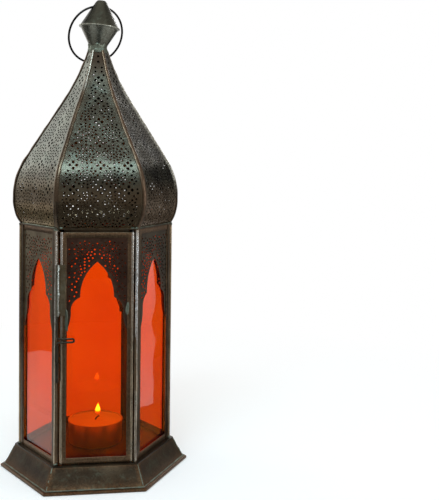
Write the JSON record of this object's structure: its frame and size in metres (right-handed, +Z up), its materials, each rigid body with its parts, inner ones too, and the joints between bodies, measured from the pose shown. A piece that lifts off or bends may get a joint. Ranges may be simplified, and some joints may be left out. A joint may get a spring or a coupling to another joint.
{
  "type": "ramadan fanous lantern",
  "caption": "Six-sided sheet metal lantern with orange glass in cusped arches, a hinged glass door with a wire bolt, a pierced onion dome, a finial and a hanging ring.",
  "frame": {"origin": "middle of the foot's underside, on the ground", "axes": "+Z up, -Y towards the door in front, +X towards the hinge side, seen from the front the right"},
  "size_m": [0.1318, 0.1142, 0.3276],
  "materials": {
    "bronze_sheet": "antiqued bronze-brown, satin, worn",
    "worn_seam": "worn copper brown",
    "solder": "rough grey-green solder",
    "dark_wire": "dark satin wire",
    "orange_glass": "clear gloss, coloured through",
    "cup_foil": "bright foil",
    "wax": "soft satin wax",
    "wick": "charred cotton"
  },
  "bodies": {
    "lantern": {"base_skirt": "bronze_sheet", "base_floor": "bronze_sheet", "top_plate": "bronze_sheet", "corner_post_1": "bronze_sheet", "corner_post_2": "bronze_sheet", "corner_post_3": "bronze_sheet", "corner_post_4": "bronze_sheet", "corner_post_5": "bronze_sheet", "corner_post_6": "bronze_sheet", "side_frame_1": "bronze_sheet", "side_frame_2": "bronze_sheet", "side_frame_3": "bronze_sheet", "side_frame_4": "bronze_sheet", "side_frame_5": "bronze_sheet", "side_glass_1": "orange_glass", "side_glass_2": "orange_glass", "side_glass_3": "orange_glass", "side_glass_4": "orange_glass", "side_glass_5": "orange_glass", "side_arch_1": "bronze_sheet", "side_arch_2": "bronze_sheet", "side_arch_3": "bronze_sheet", "side_arch_4": "bronze_sheet", "side_arch_5": "bronze_sheet", "hinge_wire": "dark_wire", "latch_keeper": "solder", "dome_gore_1": "bronze_sheet", "dome_gore_2": "bronze_sheet", "dome_gore_3": "bronze_sheet", "dome_gore_4": "bronze_sheet", "dome_gore_5": "bronze_sheet", "dome_gore_6": "bronze_sheet", "dome_rib_1": "worn_seam", "dome_rib_2": "worn_seam", "dome_rib_3": "worn_seam", "dome_rib_4": "worn_seam", "dome_rib_5": "worn_seam", "dome_rib_6": "worn_seam", "neck_collar": "solder", "finial_lower_cone": "bronze_sheet", "finial_upper_cone": "bronze_sheet", "tealight_cup": "cup_foil", "tealight_wax": "wax", "tealight_wick": "wick"},
    "door": {"door_frame": "bronze_sheet", "door_glass": "orange_glass", "door_arch": "bronze_sheet", "latch_guide": "solder"},
    "latch_bolt": {"latch_bolt": "dark_wire"},
    "hanging_ring": {"hanging_ring": "dark_wire"}
  },
  "joints": [
    {"name": "door_hinge", "type": "hinge", "parent": "lantern", "child": "door", "pos_m": [0.02335, -0.04474, 0.0159], "axis": [0, 0, 1], "range_deg": [0, 110]},
    {"name": "latch_slide", "type": "slide", "parent": "door", "child": "latch_bolt", "axis": [0, 0, 1], "range_m": [0, 0.0135]},
    {"name": "ring_swing", "type": "hinge", "parent": "lantern", "child": "hanging_ring", "pos_m": [0.00198, 0, 0.32272], "axis": [0.8988, 0.4384, 0], "range_deg": [-2, 312]}
  ]
}
